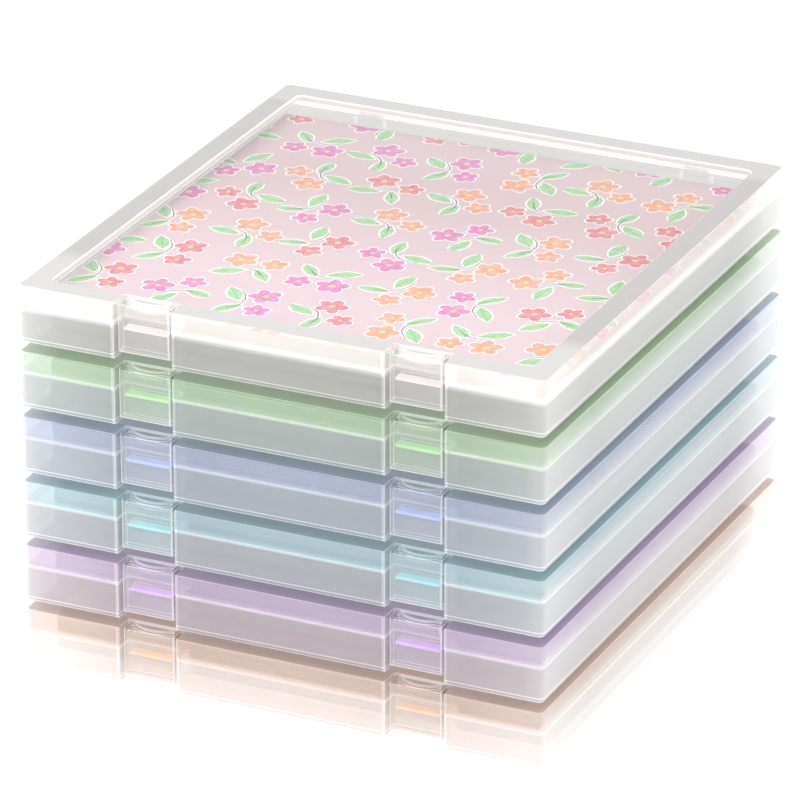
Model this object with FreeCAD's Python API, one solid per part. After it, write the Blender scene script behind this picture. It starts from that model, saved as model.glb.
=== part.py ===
import FreeCAD, Part
import os

Vector = FreeCAD.Vector
os.makedirs("parts", exist_ok=True)

# Stack of clear hinged cases for 12 inch square paper. Millimetres, +Z up, latches facing -Y.
# The origin is under the middle of the stack's bounding box, on the surface it stands on.
# Helper shapes use case coordinates: X from the middle, Y back from the lid's front face,
# Z up from the underside of the foot.

# ---- the stack -------------------------------------------------------------------------------
CASES = 6
PITCH = 39.7                # from one case to the next

# ---- paper, and the room left round it -------------------------------------------------------
SHEET = 304.8               # 12 inches
SIDE_GAP = 5.3
FRONT_GAP = 9.1             # from the latch pockets
BACK_GAP = 14.3
COLOUR_PACK = 9.2
PAPER_DROP = 0.1            # top of the paper, below the base's edge
PRINT_T = 0.4

# ---- one case --------------------------------------------------------------------------------
CORNER_R = 4.0              # upright corners
WALL = 1.8
LID_H = 12.7
BASE_H = 21.8
RECESS = 3.5                # window panel below the rim
RIM = 14.5                  # width of the rim round the window panel
BASE_INSET = 0.5            # the base's walls stand this far inside the lid's
TOP_EDGE_R = 1.0
BOTTOM_EDGE_R = 2.0

POCKET_D = RIM - WALL       # the latch pockets reach back to the rim's inner wall
BACK_SPACE = BACK_GAP + WALL + BASE_INSET
WIDTH = SHEET + 2 * (SIDE_GAP + WALL + BASE_INSET)
DEPTH = SHEET + POCKET_D + WALL + FRONT_GAP + BACK_SPACE
CASE_H = PITCH + RECESS
SPLIT = CASE_H - LID_H      # level where the lid rests on the base
SKIRT_Z = SPLIT - BASE_H    # lower edge of the base's walls, also the height of the foot
PANEL_Z = CASE_H - RECESS

# ---- foot ring and locating lip --------------------------------------------------------------
FOOT_INSET = 31.0
FOOT_WALL = 2.4
FOOT_R = 8.0
LIP_GAP = 0.3               # between the lip and the lid's skirt
LIP_WALL = 1.2
LIP_UP = 1.5
LIP_DOWN = 2.0

# ---- latch pockets ---------------------------------------------------------------------------
LATCH_X = 82.5              # pocket centres, left and right of the middle
POCKET_W = 36.0
SHELF_HALF = 13.6           # half width of the bracket that carries the latch
SHELF_FRONT = 5.0           # front of its curved edge, in the middle
SHELF_R = 19.6
SHELF_H = 5.5
CHEEK = 1.6
CHEEK_FRONT = 7.5

# ---- latches ---------------------------------------------------------------------------------
LATCH_HALF = 15.8
LATCH_FRONT = 2.0           # set back from the lid's front face
LATCH_WALL = 1.6
LATCH_TOP = CASE_H - 0.2
LATCH_BOTTOM = SKIRT_Z + 4.5
LATCH_TOP_R = 1.0           # front edge at the top, which swings up under the case above
FLANGE_D = 4.5              # depth of the side and bottom flanges
PIVOT_Y = 9.6
PIVOT_Z = CASE_H - 2.8
PIVOT_R = 1.5
PIN_CLEARANCE = 0.05
ARM_R = 2.6
ARM_IN = SHELF_HALF + 0.3   # inner face of each arm
TOP_FLANGE_BACK = 6.0
TOP_FLANGE_GAP = 1.2        # from the bracket's curved edge

# ---- catch on the base, and the hook behind each latch's face --------------------------------
CATCH_HALF = 13.4
CATCH_FRONT = 4.4
CATCH_DROP = 2.8            # top of the catch, below the base's edge
CATCH_H = 1.8
CATCH_GAP = 0.1             # between the catch and the hook under it
HOOK_HALF = 12.0
HOOK_D = 4.4                # from the latch's front face
HOOK_H = 1.6

# ---- hinge -----------------------------------------------------------------------------------
HINGE_X = 105.0
AXIS_Y = DEPTH + 3.0
KNUCKLE_R = 2.8
HINGE_PIN_R = 1.6
EAR_IN = 8.0
EAR_OUT = 11.0
CLIP_HALF = 7.6
CLIP_SLOT = 2.4             # mouth of the clip, narrower than the pin
EAR_DROP = 5.0

FLOOR_Z = SKIRT_Z + WALL
CATCH_Z = SPLIT - CATCH_DROP - CATCH_H
PAPER_TOP = SPLIT - PAPER_DROP
FRONT_Y = -(AXIS_Y + KNUCKLE_R) / 2
LATCHES = {"left": -LATCH_X, "right": LATCH_X}
PAPERS = ["pink", "green", "blue", "teal", "purple", "peach"]


def block(x, y, z):
    """Box between a low and a high value on each axis."""
    size = [x[1] - x[0], y[1] - y[0], z[1] - z[0]]
    return Part.makeBox(*size, Vector(x[0], y[0], z[0]))


def rod(radius, x, y, z):
    """Cylinder along X between two values, at a given Y and Z."""
    return Part.makeCylinder(radius, x[1] - x[0], Vector(x[0], y, z), Vector(1, 0, 0))


def drum(radius, x, y, z):
    """Upright cylinder at a given X and Y, between two heights."""
    return Part.makeCylinder(radius, z[1] - z[0], Vector(x, y, z[0]))


def is_upright(edge):
    a, b = edge.Vertexes[0].Point, edge.Vertexes[-1].Point
    return abs(a.x - b.x) < 0.001 and abs(a.y - b.y) < 0.001


def slab(inset, z, radius):
    """Block with rounded upright corners, set in from the case's outline on all four sides."""
    half = WIDTH / 2 - inset
    plain = block((-half, half), (inset, DEPTH - inset), z)
    return plain.makeFillet(radius, [e for e in plain.Edges if is_upright(e)])


def soften(solid, height, radius):
    """Round the outline of a slab at its top or bottom face."""
    outline = [e for e in solid.Edges if abs(e.BoundBox.ZMin - height) < 0.001
               and abs(e.BoundBox.ZMax - height) < 0.001]
    return solid.makeFillet(radius, outline)


def pockets(z, wall=0.0):
    """The two latch pockets, or with a wall the blocks that surround them."""
    half = POCKET_W / 2 + wall
    front = -1.0 if wall == 0 else 0.0
    return [block((x - half, x + half), (front, POCKET_D + wall), z) for x in LATCHES.values()]


def bracket(x):
    """Shelf level with the rim, with a curved lip, two cheeks and the latch's pins."""
    centre_y = SHELF_FRONT + SHELF_R
    low = CASE_H - SHELF_H
    back = POCKET_D + WALL / 2
    body = drum(SHELF_R, x, centre_y, (low, CASE_H))
    body = body.common(block((x - SHELF_HALF, x + SHELF_HALF), (0, back), (low, CASE_H)))
    hollow = drum(SHELF_R - CHEEK, x, centre_y, (low - 1, CASE_H - WALL))
    inner = SHELF_HALF - CHEEK
    hollow = hollow.common(block((x - inner, x + inner), (0, POCKET_D), (low - 1, CASE_H)))
    body = body.cut(hollow)
    for side in (-1, 1):
        faces = sorted((x + side * inner, x + side * SHELF_HALF))
        body = body.fuse(block(faces, (CHEEK_FRONT, back), (low, CASE_H)))
        ends = sorted((x + side * (SHELF_HALF - CHEEK / 2), x + side * LATCH_HALF))
        body = body.fuse(rod(PIVOT_R, ends, PIVOT_Y, PIVOT_Z))
    return body


def make_lid():
    outer = soften(slab(0, (SPLIT, CASE_H), CORNER_R), CASE_H, TOP_EDGE_R)
    lid = outer.cut(slab(WALL, (SPLIT - 1, CASE_H - WALL), CORNER_R - WALL))
    tub = slab(RIM - WALL, (PANEL_Z - WALL, CASE_H), CORNER_R + WALL)
    walls = [b.common(outer) for b in pockets((SPLIT, CASE_H), WALL)]
    lid = lid.fuse([tub] + walls)
    lid = lid.cut([slab(RIM, (PANEL_Z, CASE_H + 1), CORNER_R)] + pockets((SPLIT - 1, CASE_H + 1)))
    lid = lid.fuse([bracket(x) for x in LATCHES.values()])
    for x in (-HINGE_X, HINGE_X):
        span = (x - CLIP_HALF, x + CLIP_HALF)
        web = block(span, (DEPTH - WALL / 2, AXIS_Y), (SPLIT + LIP_GAP, SPLIT + KNUCKLE_R))
        clip = rod(KNUCKLE_R, span, AXIS_Y, SPLIT).fuse(web)
        wide = (span[0] - 1, span[1] + 1)
        clip = clip.cut(rod(HINGE_PIN_R + PIN_CLEARANCE, wide, AXIS_Y, SPLIT))
        mouth = (SPLIT - CLIP_SLOT / 2, SPLIT + CLIP_SLOT / 2)
        lid = lid.fuse(clip.cut(block(wide, (AXIS_Y, AXIS_Y + KNUCKLE_R + 1), mouth)))
    return lid.removeSplitter()


def locating_lip():
    """Low rib inside the lid's skirt, left out at the pockets."""
    inset = WALL + LIP_GAP
    z = (SPLIT - LIP_DOWN, SPLIT + LIP_UP)
    ring = slab(inset, z, CORNER_R - inset)
    inner = inset + LIP_WALL
    radius = max(CORNER_R - inner, LIP_WALL / 2)
    ring = ring.cut(slab(inner, (z[0] - 1, z[1] + 1), radius))
    return ring.cut(pockets(z, WALL + LIP_GAP))


def make_base():
    z = (SKIRT_Z, SPLIT)
    outer = soften(slab(BASE_INSET, z, CORNER_R - BASE_INSET), SKIRT_Z, BOTTOM_EDGE_R)
    inset = BASE_INSET + WALL
    base = outer.cut(slab(inset, (FLOOR_Z, SPLIT + 1), CORNER_R - inset))
    base = base.fuse([b.common(outer) for b in pockets(z, WALL)])
    base = base.fuse(locating_lip())
    base = base.cut(pockets((SKIRT_Z - 1, SPLIT + 1)))
    foot = slab(FOOT_INSET, (0, FLOOR_Z - WALL / 2), FOOT_R)
    inner = FOOT_INSET + FOOT_WALL
    foot = foot.cut(slab(inner, (-1, SKIRT_Z), FOOT_R - FOOT_WALL))
    base = base.fuse(foot)
    for x in LATCHES.values():
        span = (x - CATCH_HALF, x + CATCH_HALF)
        shelf = (CATCH_FRONT, POCKET_D + WALL / 2)
        base = base.fuse(block(span, shelf, (CATCH_Z, CATCH_Z + CATCH_H)))
    for x in (-HINGE_X, HINGE_X):
        pin_span = (x - EAR_IN - 1, x + EAR_IN + 1)
        base = base.fuse(rod(HINGE_PIN_R, pin_span, AXIS_Y, SPLIT))
        for side in (-1, 1):
            span = sorted((x + side * EAR_IN, x + side * EAR_OUT))
            root = block(span, (DEPTH - WALL, AXIS_Y), (SPLIT - EAR_DROP, SPLIT))
            root = root.cut(slab(inset, (SKIRT_Z, SPLIT + 1), CORNER_R - inset))
            base = base.fuse(rod(KNUCKLE_R, span, AXIS_Y, SPLIT).fuse(root))
    return base.removeSplitter()


def make_latch(x):
    width = (x - LATCH_HALF, x + LATCH_HALF)
    height = (LATCH_BOTTOM, LATCH_TOP)
    front = LATCH_FRONT
    latch = block(width, (front, front + LATCH_WALL), height)
    low = (LATCH_BOTTOM, LATCH_BOTTOM + LATCH_WALL)
    latch = latch.fuse(block(width, (front, front + FLANGE_D), low))
    hook_top = CATCH_Z - CATCH_GAP
    hook = block((x - HOOK_HALF, x + HOOK_HALF), (front, front + HOOK_D), (hook_top - HOOK_H, hook_top))
    latch = latch.fuse(hook)
    shelf = block(width, (front, TOP_FLANGE_BACK), (LATCH_TOP - LATCH_WALL, LATCH_TOP))
    shelf = shelf.cut(drum(SHELF_R + TOP_FLANGE_GAP, x, SHELF_FRONT + SHELF_R, (0, CASE_H)))
    latch = latch.fuse(shelf)
    for side in (-1, 1):
        outer = x + side * LATCH_HALF
        thin = sorted((outer, outer - side * LATCH_WALL))
        thick = sorted((outer, x + side * ARM_IN))
        latch = latch.fuse(block(thin, (front, front + FLANGE_D), height))
        latch = latch.fuse(block(thick, (front, PIVOT_Y), (PIVOT_Z - ARM_R, PIVOT_Z + ARM_R)))
        latch = latch.fuse(rod(ARM_R, thick, PIVOT_Y, PIVOT_Z))
    bore = rod(PIVOT_R + PIN_CLEARANCE, (width[0] - 1, width[1] + 1), PIVOT_Y, PIVOT_Z)
    latch = latch.cut(bore).removeSplitter()
    top = [e for e in latch.Edges if abs(e.BoundBox.YMax - front) < 0.001
           and abs(e.BoundBox.ZMin - LATCH_TOP) < 0.001]
    return latch.makeFillet(LATCH_TOP_R, top)


def sheets(z):
    """A squared-up stack of sheets between two heights."""
    back = DEPTH - BACK_SPACE
    return block((-SHEET / 2, SHEET / 2), (back - SHEET, back), z)


def save(shape, name, level):
    """Write one piece, moved from case coordinates to its case's place in the stack."""
    placed = shape.copy()
    placed.translate(Vector(0, FRONT_Y, level * PITCH))
    placed.exportStep("parts/" + name + ".step")


lid = make_lid()
base = make_base()
latches = {side: make_latch(x) for side, x in LATCHES.items()}
under = PAPER_TOP - COLOUR_PACK

for number, paper in enumerate(PAPERS, start=1):
    level = CASES - number
    case = "case_%d_" % number
    save(base, case + "base", level)
    save(lid, case + "lid", level)
    for side, latch in latches.items():
        save(latch, case + "latch_" + side, level)
    save(sheets((under, PAPER_TOP)), case + "paper_" + paper, level)
    save(sheets((FLOOR_Z, under)), case + "paper_white", level)

save(sheets((PAPER_TOP, PAPER_TOP + PRINT_T)), "case_1_printed_sheet", CASES - 1)
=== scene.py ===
import math
import bmesh
import bpy
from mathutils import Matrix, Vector
from mathutils.bvhtree import BVHTree


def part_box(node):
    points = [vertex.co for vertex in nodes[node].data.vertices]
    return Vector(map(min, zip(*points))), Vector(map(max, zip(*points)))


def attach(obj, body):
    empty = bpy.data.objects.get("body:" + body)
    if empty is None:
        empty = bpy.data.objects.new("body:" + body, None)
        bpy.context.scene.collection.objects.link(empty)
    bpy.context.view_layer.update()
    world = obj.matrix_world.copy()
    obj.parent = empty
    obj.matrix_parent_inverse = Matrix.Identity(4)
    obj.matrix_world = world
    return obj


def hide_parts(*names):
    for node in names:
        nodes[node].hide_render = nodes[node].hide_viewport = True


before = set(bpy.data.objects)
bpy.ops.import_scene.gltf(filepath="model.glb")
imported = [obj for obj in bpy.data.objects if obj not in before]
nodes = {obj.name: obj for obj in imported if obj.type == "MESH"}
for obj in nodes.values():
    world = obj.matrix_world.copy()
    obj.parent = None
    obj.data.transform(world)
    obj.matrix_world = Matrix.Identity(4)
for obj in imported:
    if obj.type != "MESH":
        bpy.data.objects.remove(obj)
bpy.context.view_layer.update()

# ---- LIDS -----------------------------------------------------------------------------------
# Each case has a lid moulded in clear styrene: a milky rim round a sunken clear window, a skirt
# that rests on the base, and a bracket in each latch pocket. Its edges carry painted highlights,
# and bands of painted light run along its seam, corners, rear and latch pockets.

PAPERS = ["pink", "green", "blue", "teal", "purple", "peach"]
DEPTH = 0.345
SKIRT = 0.0127
RIM = 0.0145
WINDOW_DROP = 0.0035
POCKET_X = 0.0825
POCKET_HALF = 0.018
POCKET_DEEP = 0.0127
NEAR = 0.0003
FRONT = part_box("case_1_lid")[0][1]
HALF_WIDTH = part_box("case_1_lid")[1][0]


class Sock:
    """A node socket that takes part in Python arithmetic."""

    def __init__(self, net, socket):
        self.net = net
        self.socket = socket

    def _math(self, operation, a, b=None):
        values = {0: a} if b is None else {0: a, 1: b}
        return self.net.node("ShaderNodeMath", {"operation": operation}, values)

    def __add__(self, other):
        return self._math("ADD", self, other)

    def __radd__(self, other):
        return self._math("ADD", other, self)

    def __sub__(self, other):
        return self._math("SUBTRACT", self, other)

    def __rsub__(self, other):
        return self._math("SUBTRACT", other, self)

    def __mul__(self, other):
        return self._math("MULTIPLY", self, other)

    def __truediv__(self, other):
        return self._math("DIVIDE", self, other)

    def __gt__(self, other):
        return self._math("GREATER_THAN", self, other)

    def __lt__(self, other):
        return self._math("LESS_THAN", self, other)

    def call(self, operation, other=None):
        return self._math(operation, self, other)


class Net:
    """A material's node tree: node() makes a node and returns one of its outputs."""

    def __init__(self, name):
        self.material = bpy.data.materials.new(name)
        self.material.use_nodes = True
        self.tree = self.material.node_tree
        self.tree.nodes.clear()

    def node(self, kind, settings=None, values=None, output=0):
        made = self.tree.nodes.new(kind)
        for key, value in (settings or {}).items():
            setattr(made, key, value)
        for key, value in (values or {}).items():
            if isinstance(value, Sock):
                self.tree.links.new(value.socket, made.inputs[key])
            else:
                made.inputs[key].default_value = value
        return Sock(self, made.outputs[output])

    def mix(self, factor, a, b):
        """Colour a where factor is 0 and b where it is 1; a Mix node's colour sockets are 6, 7 and 2."""
        return self.node("ShaderNodeMix", {"data_type": "RGBA"}, {0: factor, 6: a, 7: b}, 2)

    def finish(self, **values):
        """The finished material: one Principled BSDF that takes the values."""
        named = {key.replace("_", " "): value for key, value in values.items()}
        shader = self.node("ShaderNodeBsdfPrincipled", {}, named)
        ending = self.tree.nodes.new("ShaderNodeOutputMaterial")
        self.tree.links.new(shader.socket, ending.inputs["Surface"])
        return self.material


def band(height, level, reach, core):
    """1 within a band about a level, falling to 0 at its reach; a larger core is crisper."""
    away = (height - level).call("ABSOLUTE") / reach
    return ((1 - away) * core).call("MAXIMUM", 0.0).call("MINIMUM", 1.0)


def lit(net, shade, light):
    """The glow of a surface in its own colour, as an emission colour for a strength of 1."""
    return net.mix(light, (0.0, 0.0, 0.0, 1.0), shade)


FLOW_HAZE = 0.06
FLOW_SHADES = (0.96, 1.04)
GLOSS_FALL = 5.0
SIDE_PALING = 0.85
PAPER_MARGIN = 0.012
# How much a band of painted light adds to the haze and to the glow.
LIGHT_HAZE = 0.45
LIGHT_GLOW = 0.3


def styrene(name, colour, haze, glow=0.0, roughness=0.12, lights=(), side_tint=None):
    """Clear styrene with a milky haze that scatters light, faint flow marks and a gloss; its glow is
    painted light, an emission in its own colour.

    Each of the lights is a band of painted light, where the styrene turns paler, hazier and glows: a
    strength, then the bands that bound it, each given as axis, level, reach and core. With a side
    tint, the walls on the left and right, and the ends of those in front and behind, take that tint:
    partly the clear plastic with no paper close behind them, partly painted light and shade on the
    side walls."""
    net = Net(name)
    place = net.node("ShaderNodeTexCoord", output="Object")
    across, deep, up = (net.node("ShaderNodeSeparateXYZ", {}, {"Vector": place}, axis) for axis in "XYZ")
    across, back = across.call("ABSOLUTE"), deep - FRONT
    axes = {"across": across, "aside": (across - POCKET_X).call("ABSOLUTE"), "back": back,
            "end": (back - DEPTH / 2).call("ABSOLUTE"), "up": up}
    flow = net.node("ShaderNodeTexNoise", {}, {"Vector": place, "Scale": 9.0, "Detail": 3.0})
    speck = net.node("ShaderNodeTexNoise", {}, {"Vector": place, "Scale": 260.0, "Detail": 2.0})
    slant = net.node("ShaderNodeLayerWeight", {}, {"Blend": 0.5}, "Facing")
    gloss = slant.call("POWER", GLOSS_FALL)
    film = haze + (flow - 0.5) * FLOW_HAZE
    relief = {"Strength": 0.03, "Distance": 0.0004, "Height": flow + speck * 0.02}
    bump = net.node("ShaderNodeBump", {}, relief)
    darker, lighter = ([min(1.0, share * c) for c in colour] for share in FLOW_SHADES)
    shade = net.mix(flow, [*darker, 1.0], [*lighter, 1.0])
    if side_tint:
        facing = net.node("ShaderNodeTexCoord", output="Normal")
        sideways = net.node("ShaderNodeSeparateXYZ", {}, {"Vector": facing}, "X").call("ABSOLUTE")
        side_paling_mask = sideways.call("MAXIMUM", band(across, HALF_WIDTH, PAPER_MARGIN, 1.0))
        shade = net.mix(side_paling_mask * SIDE_PALING, shade, [*side_tint, 1.0])
    if lights:
        light = 0.0
        for strength, *bands in lights:
            for axis, level, reach, core in bands:
                strength = band(axes[axis], level, reach, core) * strength
            light = light + strength
        pale = [0.5 + 0.5 * c for c in colour]
        shade = net.mix(light.call("MINIMUM", 1.0), shade, [*pale, 1.0])
        film = (film + light * LIGHT_HAZE).call("MINIMUM", 1.0)
        glow = glow + light * LIGHT_GLOW
    return net.finish(Base_Color=shade, Roughness=roughness + speck * 0.05, IOR=1.52, Normal=bump,
                      Alpha=film + (1 - film) * gloss, Emission_Color=lit(net, shade, glow),
                      Emission_Strength=1.0)


SPARKLE = 0.2


def bright_edge(name, colour, haze, glow=0.2):
    """The same styrene along an edge, painted as a highlight: paler, flecked with white and glowing."""
    net = Net(name)
    place = net.node("ShaderNodeTexCoord", output="Object")
    sparkle = net.node("ShaderNodeTexNoise", {}, {"Vector": place, "Scale": 40.0, "Detail": 2.0})
    pale = [0.4 + 0.6 * c for c in colour]
    shade = net.mix(sparkle, [*pale, 1.0], (1.0, 1.0, 1.0, 1.0))
    return net.finish(Base_Color=shade, Roughness=0.25, IOR=1.52, Alpha=haze + (sparkle - 0.5) * SPARKLE,
                      Emission_Color=shade, Emission_Strength=glow)


MERGED = 1e-6
IN_ONE_PLANE = math.radians(0.3)
SMOOTH_BELOW = math.radians(35)
CORNER_ABOVE = math.radians(50)
EDGE_WIDTH = 0.0009
FINE_EDGE = 0.35
WIDE_EDGES = ({"rim", "step"}, {"rim", "lip"}, {"face", "skin"})
STRAY = 0.0003


def moulding(source, name, split, finishes, finish_of):
    """A clean copy of a CAD piece: merged, flat faces joined, and its outer corners rounded.

    finish_of names each face's finish from its place in the case (across from the middle, back
    from the front, up from the split) and its normal. Corners with a plain face stay sharp, and
    so does the edge at the split under the hinge. A rounded corner that strays goes back to the
    surface of the CAD piece."""
    order = list(finishes)
    bm = bmesh.new()
    bm.from_mesh(source.data)
    surface = BVHTree.FromBMesh(bm)
    bmesh.ops.remove_doubles(bm, verts=bm.verts, dist=MERGED)
    bmesh.ops.dissolve_limit(bm, angle_limit=IN_ONE_PLANE, verts=bm.verts, edges=bm.edges)
    bm.normal_update()
    for face in bm.faces:
        spot = face.calc_center_median()
        finish = finish_of(spot.x, spot.y - FRONT, spot.z - split, face.normal)
        face.material_index = order.index(finish)
        face.smooth = True
    plain = [order.index(finish) for finish in ("inner", "pin") if finish in finishes]
    weight = bm.edges.layers.float.new("bevel_weight_edge")
    for edge in bm.edges:
        shown = [face for face in edge.link_faces if face.material_index not in plain]
        middle = (edge.verts[0].co + edge.verts[1].co) / 2
        hinged = middle.y - FRONT > DEPTH - NEAR and abs(middle.z - split) < NEAR
        if len(shown) == 2 and edge.calc_face_angle() > CORNER_ABOVE and not hinged:
            kinds = {order[face.material_index] for face in shown}
            edge[weight] = 1.0 if kinds in WIDE_EDGES else FINE_EDGE
    mesh = bpy.data.meshes.new(name)
    bm.to_mesh(mesh)
    bm.free()
    mesh.set_sharp_from_angle(angle=SMOOTH_BELOW)
    for material in finishes.values():
        mesh.materials.append(material)
    piece = bpy.data.objects.new(name, mesh)
    bpy.context.scene.collection.objects.link(piece)
    bevel = piece.modifiers.new("soft edges", "BEVEL")
    bevel.width = EDGE_WIDTH
    bevel.segments = 2
    bevel.limit_method = "WEIGHT"
    bevel.use_clamp_overlap = False
    # The rounded corners take the edge finish, a painted highlight.
    bevel.material = order.index("edge")
    level = piece.modifiers.new("flat faces", "WEIGHTED_NORMAL")
    level.keep_sharp = True
    level.weight = 100
    depsgraph = bpy.context.evaluated_depsgraph_get()
    baked = bpy.data.meshes.new_from_object(piece.evaluated_get(depsgraph))
    for corner in baked.vertices:
        spot, _, _, away = surface.find_nearest(corner.co)
        if away > STRAY:
            corner.co = spot
    piece.modifiers.clear()
    piece.data = baked
    baked.name = name
    return piece


def in_pocket(across, back):
    """True within one of the two latch pockets, its walls' faces included."""
    sideways = abs(abs(across) - POCKET_X)
    return sideways < POCKET_HALF + NEAR and back < POCKET_DEEP + NEAR


SKIN_DEPTH = 0.004


def wall_finish(across, back, normal):
    """Skin for an upright face that looks out of the case, and inner for any other."""
    if abs(normal.x) > abs(normal.y):
        reach = HALF_WIDTH - abs(across)
        outward = normal.x * across > 0
    else:
        reach = min(back, DEPTH - back)
        outward = normal.y * (back - DEPTH / 2) > 0
    return "skin" if outward and reach < SKIN_DEPTH else "inner"


BRACKET_HALF = 0.0136
BRACKET_UP = 0.007
PIVOT_BACK = 0.0096
PIN_REACH = 0.0018
PIN_SLACK = 0.001
PIN_UP = 0.008
LEVEL = 0.97
NEARLY_LEVEL = 0.9
SLOPING = 0.5
STEP_SLACK = 0.001
STEP_REACH = 0.002


def lid_finish(across, back, up, normal):
    """Finish of a lid's face."""
    round_window = min(HALF_WIDTH - abs(across), back, DEPTH - back)
    if back > DEPTH + NEAR:
        return "pin"
    if in_pocket(across, back):
        aside = abs(abs(across) - POCKET_X)
        if aside > BRACKET_HALF - PIN_SLACK and abs(back - PIVOT_BACK) < PIN_REACH and up > PIN_UP:
            return "pin"
        if normal.z > LEVEL:
            return "rim"
        return "lip" if aside < BRACKET_HALF + NEAR and up > BRACKET_UP else "skin"
    if normal.z > LEVEL:
        if up > SKIRT - NEAR:
            return "rim"
        return "window" if up > SKIRT - WINDOW_DROP - NEAR else "inner"
    if normal.z < -NEARLY_LEVEL:
        if up < NEAR:
            return "edge"
        return "window" if up < SKIRT - WINDOW_DROP - STEP_SLACK else "inner"
    if SLOPING < normal.z < NEARLY_LEVEL:
        return "edge"
    if up > SKIRT - WINDOW_DROP + STEP_SLACK and abs(round_window - RIM) < STEP_REACH:
        return "step"
    return wall_finish(across, back, normal)


# The skirts take a tint of the paper's colour. The top case's is painted nearly white and glows, painted
# light from above through its window; the others glow faintly, also painted light.
SKIRT_TINT = {
    "pink": (0.96, 0.92, 0.88),
    "green": (0.58, 0.77, 0.54),
    "blue": (0.52, 0.57, 0.76),
    "teal": (0.53, 0.74, 0.80),
    "purple": (0.71, 0.57, 0.79),
    "peach": (0.81, 0.63, 0.53),
}
SKIRT_GLOW = {"pink": 0.56}
DULL_SKIRT_GLOW = 0.05
# The rims take a dim tint of the paper's colour, kept darker in the lower cases for painted shade under the
# case above; they glow, painted light, the lower ones more.
RIM_TINT = {
    "pink": (0.48, 0.465, 0.46),
    "green": (0.36, 0.46, 0.33),
    "blue": (0.35, 0.40, 0.46),
    "teal": (0.34, 0.43, 0.46),
    "purple": (0.42, 0.36, 0.46),
    "peach": (0.52, 0.44, 0.39),
}
RIM_GLOW = {"pink": 0.1}
LOWER_RIM_GLOW = 0.22
RIM_HAZE = {"pink": 0.95}
LOWER_RIM_HAZE = 0.7
# The step takes the rim's tint made paler: painted light on the recess wall.
STEP_PALER = 1.7
# Side tints for the walls on the left and right and the ends of the front and back: partly the clear
# plastic with no paper close behind, partly painted light and shade on the side walls.
PLAIN_TINT = (0.67, 0.67, 0.67)
SIDE_TINT = {"pink": (0.56, 0.53, 0.53)}
# The lower cases' windows are greyer than the top one's, and glow with painted light where they lie in the
# shade under the case above.
TOP_WINDOW_TINT = (0.9, 0.9, 0.9)
LOWER_WINDOW_TINT = (0.7, 0.7, 0.7)
# Bands of painted light, where the styrene turns paler, hazier and glows: towards the corners, towards the
# back of the walls, along the rear of the insides, round the latch pockets and on their rims, and on the
# top case's rim at the front and the back.
CORNER_LIGHT = (0.3, ("across", HALF_WIDTH, 0.065, 1.0), ("end", DEPTH / 2, 0.065, 1.0))
BACK_LIGHT = (0.35, ("back", DEPTH, 0.08, 1.0))
REAR_LIGHT = (0.5, ("back", DEPTH, 0.006, 2.0))
POCKET_LIGHT = (0.32, ("aside", POCKET_HALF + 0.0007, 0.0014, 2.0), ("back", 0.0, 0.0015, 4.0))
POCKET_RIM_LIGHT = (0.8, ("aside", 0.0, 0.018, 20.0), ("back", 0.0125, 0.0035, 3.0))
FRONT_RIM_LIGHT = (0.32, ("back", 0.0, 0.06, 4.0))
BACK_RIM_LIGHT = (0.20, ("back", DEPTH, 0.03, 4.0))

for number, paper in enumerate(PAPERS, start=1):
    case = "case_%d_" % number
    tint = SKIRT_TINT[paper]
    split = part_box(case + "lid")[1][2] - SKIRT
    skirt_glow = SKIRT_GLOW.get(paper, DULL_SKIRT_GLOW)
    # A band of painted light along the seam at the split.
    seam_light = (0.35, ("up", split, 0.0015, 3.0))
    skirt_lights = [seam_light, POCKET_LIGHT, CORNER_LIGHT, BACK_LIGHT]
    rim_lights = [POCKET_RIM_LIGHT]
    if number == 1:
        rim_lights += [FRONT_RIM_LIGHT, BACK_RIM_LIGHT]
        window = styrene("lid window " + paper, TOP_WINDOW_TINT, haze=0.05)
    else:
        # Painted light: a glow that lifts the shade under the case above.
        window = styrene("lid window " + paper, LOWER_WINDOW_TINT, haze=0.15, glow=0.62)
    finishes = {
        "skin": styrene("lid skirt " + paper, tint, haze=0.35, glow=skirt_glow, lights=skirt_lights,
                        side_tint=SIDE_TINT.get(paper, PLAIN_TINT)),
        "edge": bright_edge("lid edge " + paper, tint, haze=0.5, glow=0.05),
        # The insides glow faintly, painted light, and more towards the rear.
        "inner": styrene("lid inside " + paper, tint, haze=0.15, glow=0.15, lights=[REAR_LIGHT]),
        "rim": styrene("lid rim " + paper, RIM_TINT[paper], haze=RIM_HAZE.get(paper, LOWER_RIM_HAZE),
                       glow=RIM_GLOW.get(paper, LOWER_RIM_GLOW), lights=rim_lights),
        "step": styrene("lid step " + paper, [STEP_PALER * c for c in RIM_TINT[paper]], haze=0.8),
        # The bracket lip glows as the skirt does, painted light.
        "lip": styrene("bracket lip " + paper, tint, haze=0.25, glow=skirt_glow),
        "window": window,
        "pin": styrene("lid pin " + paper, tint, haze=0.1),
    }
    lid = moulding(nodes[case + "lid"], case + "lid_skin", split, finishes, lid_finish)
    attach(lid, case + "lid")
    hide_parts(case + "lid")

# ---- BASES ----------------------------------------------------------------------------------
# The tray under each lid, in styrene with a greyer haze that is partly painted shade, on a low foot
# ring; the last case's is painted lighter and glows, painted light from the floor. Each latch hooks
# under a ledge in its pocket, and the front of the ledge is painted in a strong shade of the paper's
# colour and glows: painted light. Painted light also runs along the seam, above the foot and in
# bands at the pockets, corners and back.

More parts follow.
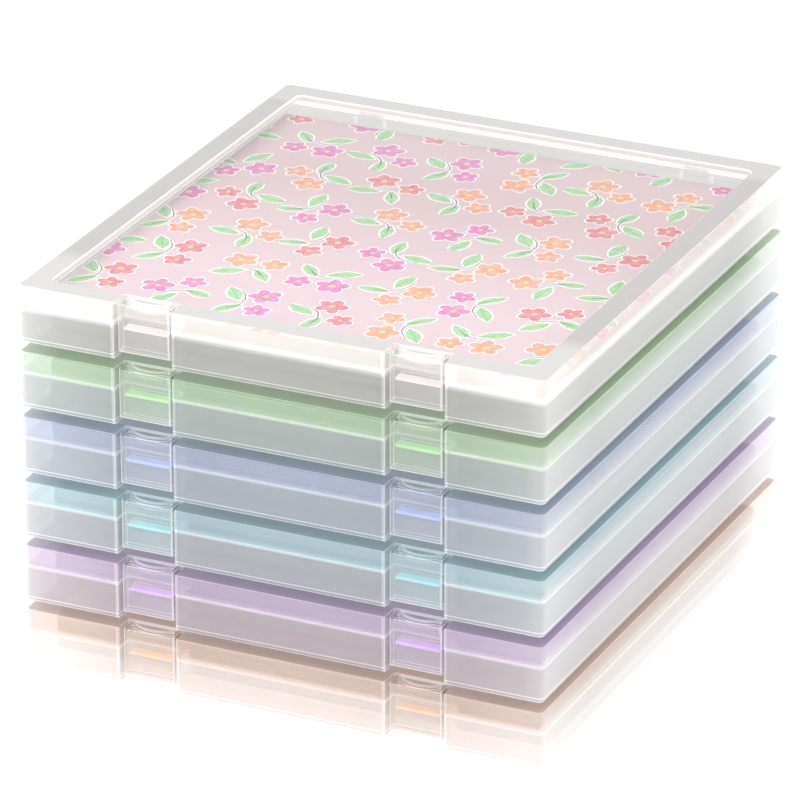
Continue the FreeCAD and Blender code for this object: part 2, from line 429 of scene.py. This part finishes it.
# The same styrene in every case: its grey holds painted shade as well as the plastic's tint, and the last
# case's base is painted much lighter and glows, painted light from the floor below it.
BASE_TINT = {
    "pink": (0.47, 0.47, 0.45),
    "green": (0.44, 0.48, 0.47),
    "blue": (0.44, 0.47, 0.52),
    "teal": (0.46, 0.48, 0.51),
    "purple": (0.52, 0.46, 0.49),
    "peach": (0.82, 0.73, 0.70),
}
BASE_GLOW = {"peach": 0.1}
# Strong shades of the paper's colours, painted on the front of each ledge, where they glow.
CATCH_TINT = {
    "pink": (0.82, 0.74, 0.74),
    "green": (0.42, 0.84, 0.32),
    "blue": (0.42, 0.56, 0.98),
    "teal": (0.30, 0.80, 0.86),
    "purple": (0.76, 0.42, 0.98),
    "peach": (1.0, 0.66, 0.36),
}
BASE_H = 0.0218
CATCH_DROP = 0.0028
CATCH_H = 0.0018
LIT_BACK = 0.0105
LEDGE_HAZE = 0.75
LEDGE_CLOUD = 0.3
LEDGE_GLOW = 0.3
# Heights above the foot of two thin painted highlight lines on each base wall, and their reach.
FOOT_LINES = (0.0031, 0.0011)
FOOT_LINE_REACH = 0.0006


def ledge(name, colour):
    """Clear styrene at the back; towards the front it is cloudy, in the given colour, and glows with
    painted light.
    """
    net = Net(name)
    place = net.node("ShaderNodeTexCoord", output="Object")
    back = net.node("ShaderNodeSeparateXYZ", {}, {"Vector": place}, "Y") - FRONT
    cloud = net.node("ShaderNodeTexNoise", {}, {"Vector": place, "Scale": 60.0})
    filled = (back < LIT_BACK) * (cloud * LEDGE_CLOUD + LEDGE_HAZE)
    darker = [0.9 * c for c in colour]
    shade = net.mix(cloud, [*darker, 1.0], [*colour, 1.0])
    return net.finish(Base_Color=shade, Roughness=0.3, IOR=1.52, Alpha=filled,
                      Emission_Color=lit(net, shade, filled * LEDGE_GLOW), Emission_Strength=1.0)


DOWNWARD = 0.1


def base_finish(across, back, up, normal):
    """Finish of a base's face."""
    if back > DEPTH + NEAR:
        return "pin"
    if in_pocket(across, back):
        on_ledge = -CATCH_DROP - CATCH_H - NEAR < up < -CATCH_DROP + NEAR
        return "catch" if on_ledge else "skin"
    if normal.z > NEARLY_LEVEL:
        return "edge" if abs(up) < NEAR else "inner"
    if normal.z < -DOWNWARD or up < -BASE_H:
        return "skin"
    return wall_finish(across, back, normal)


for number, paper in enumerate(PAPERS, start=1):
    case = "case_%d_" % number
    tint = BASE_TINT[paper]
    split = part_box(case + "lid")[1][2] - SKIRT
    foot = split - BASE_H
    # Painted light along the seam, broader and stronger on the top case, two thin painted highlight lines
    # just above the foot, and the bands of painted light at the pockets, corners and back.
    seam_light = (0.8, ("up", split, 0.0035, 1.0)) if number == 1 else (0.4, ("up", split, 0.0016, 1.5))
    foot_lights = [(0.5, ("up", foot + line, FOOT_LINE_REACH, 1.5)) for line in FOOT_LINES]
    wall_lights = [seam_light, *foot_lights, POCKET_LIGHT, CORNER_LIGHT, BACK_LIGHT]
    finishes = {
        "skin": styrene("base wall " + paper, tint, haze=0.5, glow=BASE_GLOW.get(paper, 0.0), roughness=0.3,
                        lights=wall_lights, side_tint=PLAIN_TINT),
        "edge": bright_edge("base edge " + paper, SKIRT_TINT[paper], haze=0.6),
        # The insides glow, painted light, and more towards the rear.
        "inner": styrene("base inside " + paper, tint, haze=0.25, glow=0.4, roughness=0.3,
                         lights=[REAR_LIGHT]),
        "catch": ledge("catch " + paper, CATCH_TINT[paper]),
        "pin": styrene("hinge ear " + paper, tint, haze=0.2, roughness=0.2),
    }
    base = moulding(nodes[case + "base"], case + "base_skin", split, finishes, base_finish)
    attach(base, case + "base")
    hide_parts(case + "base")

# ---- LATCHES --------------------------------------------------------------------------------
# Two flip latches on each lid, shallow clear boxes open at the back. Their arms turn on pins
# on the lid's bracket, and a hook behind the face snaps under the base's ledge.

LATCH_HALF = 0.0158
ARM_BACK = 0.0067
FACE_BACK = 0.0022
HOOK_UP = (-0.0065, -0.0045)
LATCH_TINT = {
    "pink": (0.74, 0.72, 0.71),
    "green": (0.62, 0.71, 0.60),
    "blue": (0.59, 0.61, 0.71),
    "teal": (0.59, 0.70, 0.73),
    "purple": (0.68, 0.61, 0.72),
    "peach": (0.74, 0.65, 0.60),
}


def latch_finish(across, back, up, normal):
    """Finish of a latch's face: its arms and hook are plain, so that the frame stands out."""
    aside = abs(abs(across) - POCKET_X)
    if aside > LATCH_HALF - NEAR:
        return "skin"
    if back > ARM_BACK or HOOK_UP[0] < up < HOOK_UP[1]:
        return "pin"
    return "face" if back < FACE_BACK and normal.y < -NEARLY_LEVEL else "skin"


for number, paper in enumerate(PAPERS, start=1):
    case = "case_%d_" % number
    tint = LATCH_TINT[paper]
    finishes = {
        # The latch face glows, painted light; its edges carry painted highlights.
        "face": styrene("latch face " + paper, tint, haze=0.24, glow=0.35, roughness=0.1),
        "skin": styrene("latch side " + paper, tint, haze=0.12, roughness=0.1),
        "edge": bright_edge("latch edge " + paper, tint, haze=0.65),
        "pin": styrene("latch arm " + paper, tint, haze=0.04, roughness=0.1),
    }
    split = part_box(case + "lid")[1][2] - SKIRT
    for side in ("left", "right"):
        name = case + "latch_" + side
        latch = moulding(nodes[name], name + "_skin", split, finishes, latch_finish)
        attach(latch, name)
        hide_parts(name)

# ---- SHEETS OF PAPER ------------------------------------------------------------------------
# Loose 12 inch sheets of card in each case, the coloured ones on top of white ones. Every sheet
# is a piece of its own, dropped in by hand, so the edges of the stack are never quite in line.

SHEET_PITCH = 0.00031
SHEET_STRAY = 0.0003
SHEET_COLOUR = {
    "pink": (0.93, 0.72, 0.76),
    "green": (0.30, 0.58, 0.20),
    "blue": (0.26, 0.36, 0.72),
    "teal": (0.16, 0.55, 0.62),
    "purple": (0.48, 0.24, 0.66),
    "peach": (0.90, 0.50, 0.32),
    "white": (0.86, 0.86, 0.86),
}
# The colour of the sheets' edges: the paler core of coloured card, and painted shade on the edges of white
# card, darker than its face.
CORE_AND_SHADE_COLOUR = (0.70, 0.70, 0.68)
SHEET_SHADE = 0.86
SHEET_FILL = 0.96


def card(name, colour):
    """Card coloured on its faces over a paler core, with a fine tooth and sheets of uneven tone; its
    edges take the core colour, which on white card is darker than the face: painted shade.
    """
    net = Net(name)
    place = net.node("ShaderNodeTexCoord", output="Object")
    facing = net.node("ShaderNodeNewGeometry", output="Normal")
    upward = net.node("ShaderNodeSeparateXYZ", {}, {"Vector": facing}, "Z")
    tooth = net.node("ShaderNodeTexNoise", {}, {"Vector": place, "Scale": 900.0, "Detail": 2.0})
    layers = net.node("ShaderNodeMapping", {}, {"Vector": place, "Scale": (3.0, 3.0, 2600.0)})
    sheet = net.node("ShaderNodeTexNoise", {}, {"Vector": layers, "Scale": 1.0, "Detail": 1.0})
    face, side = (net.mix(sheet, [*(SHEET_SHADE * c for c in tone), 1.0], [*tone, 1.0])
                  for tone in (colour, CORE_AND_SHADE_COLOUR))
    shade = net.mix(upward.call("ABSOLUTE"), side, face)
    bump = net.node("ShaderNodeBump", {}, {"Strength": 0.1, "Distance": 0.0001, "Height": tooth})
    return net.finish(Base_Color=shade, Roughness=0.85 + tooth * 0.1, Normal=bump)


def stack_tree():
    """Geometry Nodes tree that piles up sheets, each shifted a little at random."""
    tree = bpy.data.node_groups.new("stack of sheets", "GeometryNodeTree")
    tree.is_modifier = True
    tree.interface.new_socket("Geometry", in_out="OUTPUT", socket_type="NodeSocketGeometry")
    sockets = {"Size": "NodeSocketVector", "Lowest": "NodeSocketVector", "Count": "NodeSocketInt",
               "Pitch": "NodeSocketFloat", "Stray": "NodeSocketFloat", "Seed": "NodeSocketInt",
               "Card": "NodeSocketMaterial"}
    for name, kind in sockets.items():
        tree.interface.new_socket(name, in_out="INPUT", socket_type=kind)
    wanted = tree.nodes.new("NodeGroupInput")

    def add(kind, settings=None, **inputs):
        made = tree.nodes.new(kind)
        for key, value in (settings or {}).items():
            setattr(made, key, value)
        for key, value in inputs.items():
            socket = made.inputs[key.replace("_", " ")]
            if isinstance(value, bpy.types.NodeSocket):
                tree.links.new(value, socket)
            else:
                socket.default_value = value
        return made.outputs

    given = wanted.outputs
    step = add("ShaderNodeCombineXYZ", Z=given["Pitch"])["Vector"]
    line = add("GeometryNodeMeshLine", {"mode": "OFFSET"}, Count=given["Count"],
               Start_Location=given["Lowest"], Offset=step)["Mesh"]
    sheet = add("GeometryNodeMeshCube", Size=given["Size"])["Mesh"]
    piled = add("GeometryNodeInstanceOnPoints", Points=line, Instance=sheet)["Instances"]
    spread = add("ShaderNodeCombineXYZ", X=given["Stray"], Y=given["Stray"])["Vector"]
    back = add("ShaderNodeVectorMath", {"operation": "SCALE"}, Vector=spread, Scale=-1.0)["Vector"]
    shift = add("FunctionNodeRandomValue", {"data_type": "FLOAT_VECTOR"}, Min=back, Max=spread,
                Seed=given["Seed"])["Value"]
    moved = add("GeometryNodeTranslateInstances", Instances=piled, Translation=shift)["Instances"]
    solid = add("GeometryNodeRealizeInstances", Geometry=moved)["Geometry"]
    made = add("GeometryNodeSetMaterial", Geometry=solid, Material=given["Card"])["Geometry"]
    result = tree.nodes.new("NodeGroupOutput")
    tree.links.new(made, result.inputs["Geometry"])
    return tree


STACK = stack_tree()


def stack(name, node, material, seed):
    """A pile of sheets that fills the box of a CAD node."""
    low, high = (Vector(corner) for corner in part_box(node))
    size = high - low
    count = round(size.z / SHEET_PITCH)
    pitch = size.z / count
    sheet = Vector((size.x - 2 * SHEET_STRAY, size.y - 2 * SHEET_STRAY, SHEET_FILL * pitch))
    middle = Vector(((low.x + high.x) / 2, (low.y + high.y) / 2, low.z + pitch / 2))
    pile = bpy.data.objects.new(name, bpy.data.meshes.new(name))
    bpy.context.scene.collection.objects.link(pile)
    modifier = pile.modifiers.new("sheets", "NODES")
    modifier.node_group = STACK
    values = {"Size": sheet, "Lowest": middle, "Count": count, "Pitch": pitch, "Stray": SHEET_STRAY,
              "Seed": seed, "Card": material}
    for item in STACK.interface.items_tree:
        if item.in_out == "INPUT":
            modifier[item.identifier] = values[item.name]
    depsgraph = bpy.context.evaluated_depsgraph_get()
    pile.data = bpy.data.meshes.new_from_object(pile.evaluated_get(depsgraph))
    pile.modifiers.clear()
    pile.data.name = name
    return pile


cards = {colour: card(colour + " card", SHEET_COLOUR[colour]) for colour in SHEET_COLOUR}
for number, paper in enumerate(PAPERS, start=1):
    case = "case_%d_" % number
    for turn, colour in enumerate((paper, "white")):
        node = case + "paper_" + colour
        pile = stack(node + "_sheets", node, cards[colour], 10 * number + turn)
        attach(pile, case + "base")
        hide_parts(node)

# ---- PRINTED SHEET --------------------------------------------------------------------------
# One sheet of pale pink card on top of the first case's stack, printed all over with small
# sprigs: two five-petalled blossoms and two leaves on a thin stem, each with a white outline.

REPEAT = 0.046
ROW_STAGGER = 0.5
PRINT_SEED = 7.0
SPRIG_SHIFT = 0.004
WOBBLE = 0.0016
PETALS = 5
PETAL_WAIST = 0.62
PETAL_SWELL = 0.42
HEART_RADII = (0.0017, 0.0013)
VEIN_HALF = 0.00028
STEM_HALF = 0.00042
STEM_INSET = 0.0002
OUTLINE = 0.0011
# The card's ground colour at the back and at the front; the front's is lighter, painted light.
PRINT_GROUND_AND_LIGHT = ((0.62, 0.45, 0.475, 1), (0.655, 0.50, 0.545, 1))
PETAL_INKS = ((0.68, 0.07, 0.10, 1), (0.76, 0.26, 0.08, 1), (0.64, 0.07, 0.38, 1))
LEAF_INK = (0.20, 0.56, 0.16, 1)
VEIN_INK = (0.12, 0.45, 0.12, 1)
STEM_INK = (0.03, 0.03, 0.03, 1)
HEART_INK = (0.90, 0.62, 0.20, 1)
WHITE_INK = (0.93, 0.91, 0.91, 1)
INK_SHARES = (0.34, 0.67)
PETAL_WASH = 0.38
LEAF_WASH = 0.34
WASH_DEPTH = 0.7
# Strength of the painted glow towards the front of the sheet.
PRINT_GLOW = 0.21

net = Net("printed pink card")
place = net.node("ShaderNodeTexCoord", output="Object")
across, along = (net.node("ShaderNodeSeparateXYZ", {}, {"Vector": place}, axis) for axis in "XY")


def wobble(scale):
    """A slow wave, so that no drawn line is quite straight."""
    wave = net.node("ShaderNodeTexNoise", {}, {"Vector": place, "Scale": scale, "Detail": 1.0})
    return (wave - 0.5) * WOBBLE


row = (along / REPEAT).call("FLOOR")
stagger = row.call("PINGPONG", 1.0) * ROW_STAGGER
column_place = across / REPEAT + stagger
column = column_place.call("FLOOR")
cell = net.node("ShaderNodeCombineXYZ", {}, {"X": column, "Y": row, "Z": PRINT_SEED})
chance = net.node("ShaderNodeTexWhiteNoise", {"noise_dimensions": "3D"}, {"Vector": cell}, "Color")
turn_dice, shift_dice, ink_dice = (net.node("ShaderNodeSeparateXYZ", {}, {"Vector": chance}, axis)
                                   for axis in "XYZ")
local_x = (column_place - column - 0.5) * REPEAT + (shift_dice - 0.5) * SPRIG_SHIFT + wobble(120.0)
local_y = (along / REPEAT - row - 0.5) * REPEAT + (ink_dice - 0.5) * SPRIG_SHIFT + wobble(150.0)
turn = turn_dice * (2 * math.pi)
cos_turn, sin_turn = turn.call("COSINE"), turn.call("SINE")
sprig_x = local_x * cos_turn + local_y * sin_turn
sprig_y = local_y * cos_turn - local_x * sin_turn


def blossom(x, y, radius, start):
    """Signed distance to a five-petalled outline, and the distance from its centre."""
    dx, dy = sprig_x - x, sprig_y - y
    reach_out = (dx * dx + dy * dy).call("SQRT")
    angle = dy.call("ARCTAN2", dx)
    petals = (angle * (PETALS / 2) + start).call("COSINE").call("ABSOLUTE")
    return reach_out - (petals * PETAL_SWELL + PETAL_WAIST) * radius, reach_out


def leaf(x, y, angle, length, width):
    """Signed distance, roughly, to a pointed leaf lying along an angle, and to its middle vein."""
    dx, dy = sprig_x - x, sprig_y - y
    c, s = math.cos(angle), math.sin(angle)
    run = dx * c + dy * s
    side = (dy * c - dx * s).call("ABSOLUTE")
    taper = 1 - (run / length) * (run / length)
    return side - taper * width, side


def stem(bend, start, end, lift):
    """Distance to a thin curved line across the sprig, far away outside its two ends."""
    line = (sprig_y - (sprig_x * sprig_x) * bend - lift).call("ABSOLUTE")
    outside = (sprig_x < start) + (sprig_x > end)
    return line + outside


flower_a, centre_a = blossom(x=-0.0098, y=0.0052, radius=0.0094, start=0.3)
flower_b, centre_b = blossom(x=0.0106, y=0.0078, radius=0.0076, start=1.1)
leaf_a, vein_a = leaf(x=-0.0080, y=-0.0125, angle=0.6, length=0.0102, width=0.0042)
leaf_b, vein_b = leaf(x=0.0122, y=-0.0090, angle=-0.75, length=0.0094, width=0.0038)
twig = stem(bend=-38.0, start=-0.0130, end=0.0130, lift=-0.0035)
flowers = flower_a.call("MINIMUM", flower_b)
leaves = leaf_a.call("MINIMUM", leaf_b)
drawn = flowers.call("MINIMUM", leaves).call("MINIMUM", twig - STEM_INSET)

wash = net.node("ShaderNodeTexNoise", {}, {"Vector": place, "Scale": 210.0, "Detail": 3.0})
petal_ink = PETAL_INKS[0]
for share, ink in zip(INK_SHARES, PETAL_INKS[1:]):
    petal_ink = net.mix(ink_dice > share, petal_ink, ink)
petal_ink = net.mix((wash - PETAL_WASH) * WASH_DEPTH, petal_ink, WHITE_INK)
leaf_ink = net.mix((wash - LEAF_WASH) * WASH_DEPTH, LEAF_INK, WHITE_INK)
# Painted light on the sheet: lighter and glowing towards the front.
painted_front_light = band(along - FRONT, level=0.05, reach=0.19, core=1.3)
shade = net.mix(drawn < OUTLINE, net.mix(painted_front_light, *PRINT_GROUND_AND_LIGHT), WHITE_INK)
shade = net.mix(leaves < 0.0, shade, leaf_ink)
shade = net.mix((leaves < 0.0) * (vein_a.call("MINIMUM", vein_b) < VEIN_HALF), shade, VEIN_INK)
shade = net.mix(twig < STEM_HALF, shade, STEM_INK)
shade = net.mix(flowers < 0.0, shade, petal_ink)
hearts = (centre_a < HEART_RADII[0]) + (centre_b < HEART_RADII[1])
shade = net.mix(hearts, shade, HEART_INK)
tooth = net.node("ShaderNodeTexNoise", {}, {"Vector": place, "Scale": 900.0, "Detail": 2.0})
bump = net.node("ShaderNodeBump", {}, {"Strength": 0.1, "Distance": 0.0001, "Height": tooth})
printed = nodes["case_1_printed_sheet"]
printed.data.materials.clear()
printed.data.materials.append(net.finish(Base_Color=shade, Roughness=0.7 + tooth * 0.1, Normal=bump,
                                         Emission_Color=lit(net, shade, painted_front_light * PRINT_GLOW),
                                         Emission_Strength=1.0))

# ---- FLOOR, LIGHT AND CAMERA ----------------------------------------------------------------
# A plain white floor that glows a little, a pale room, a large softbox overhead and smaller ones
# at the left and the right. The camera stands far off, in front and above, with a long lens.

FLOOR_HALF = 6.0
corners = [(x * FLOOR_HALF, y * FLOOR_HALF, 0) for x, y in ((-1, -1), (1, -1), (1, 1), (-1, 1))]
floor_mesh = bpy.data.meshes.new("floor")
floor_mesh.from_pydata(corners, [], [(0, 1, 2, 3)])
floor = bpy.data.objects.new("floor", floor_mesh)
bpy.context.scene.collection.objects.link(floor)
net = Net("white floor")
place = net.node("ShaderNodeTexCoord", output="Object")
grain = net.node("ShaderNodeTexNoise", {}, {"Vector": place, "Scale": 3.0})
shade = net.mix(grain, (0.2, 0.2, 0.2, 1), (0.22, 0.22, 0.22, 1))
floor_mesh.materials.append(net.finish(Base_Color=shade, Roughness=0.9, Emission_Color=(1, 1, 1, 1),
                                       Emission_Strength=0.9))

world = bpy.data.worlds.new("studio")
bpy.context.scene.world = world
world.use_nodes = True
background = world.node_tree.nodes["Background"]
background.inputs["Color"].default_value = (1, 1, 1, 1)
background.inputs["Strength"].default_value = 0.8


def softbox(name, place, aim, size, power):
    """A rectangular area light at a place, turned towards its aim."""
    light = bpy.data.lights.new(name, "AREA")
    light.shape = "RECTANGLE"
    light.size, light.size_y = size
    light.energy = power
    lamp = bpy.data.objects.new(name, light)
    lamp.location = place
    lamp.rotation_euler = (Vector(aim) - Vector(place)).to_track_quat("-Z", "Y").to_euler()
    bpy.context.scene.collection.objects.link(lamp)


softbox("top softbox", place=(0.3, 0.5, 4.0), aim=(0, 0, 0.2), size=(4.0, 4.0), power=62)
softbox("left softbox", place=(-0.75, -0.55, 0.3), aim=(-0.16, -0.17, 0.12), size=(0.5, 0.4), power=3.4)
softbox("right softbox", place=(3.0, -0.6, 1.2), aim=(0, 0, 0.12), size=(2.4, 2.0), power=30)

bpy.context.scene.view_settings.view_transform = "Standard"

YAW = math.radians(24.85)
PITCH_DOWN = math.radians(23.30)
AIM = Vector((0.0, -0.0154, 0.1617))
DISTANCE = 3.726
FRAME_PX = 800
FOCAL_PX = 6539.6
LOWERED_PX = 38.1
SENSOR = 36.0
level_ahead = math.cos(PITCH_DOWN)
ahead = Vector((-math.sin(YAW) * level_ahead, math.cos(YAW) * level_ahead, -math.sin(PITCH_DOWN)))
camera = bpy.data.objects.new("camera", bpy.data.cameras.new("camera"))
camera.data.sensor_width = SENSOR
camera.data.lens = SENSOR * FOCAL_PX / FRAME_PX
camera.data.clip_end = 50
camera.location = AIM - ahead * DISTANCE
lower = PITCH_DOWN + math.atan(LOWERED_PX / FOCAL_PX)
camera.rotation_euler = (math.pi / 2 - lower, 0, YAW)
bpy.context.scene.collection.objects.link(camera)
bpy.context.scene.camera = camera
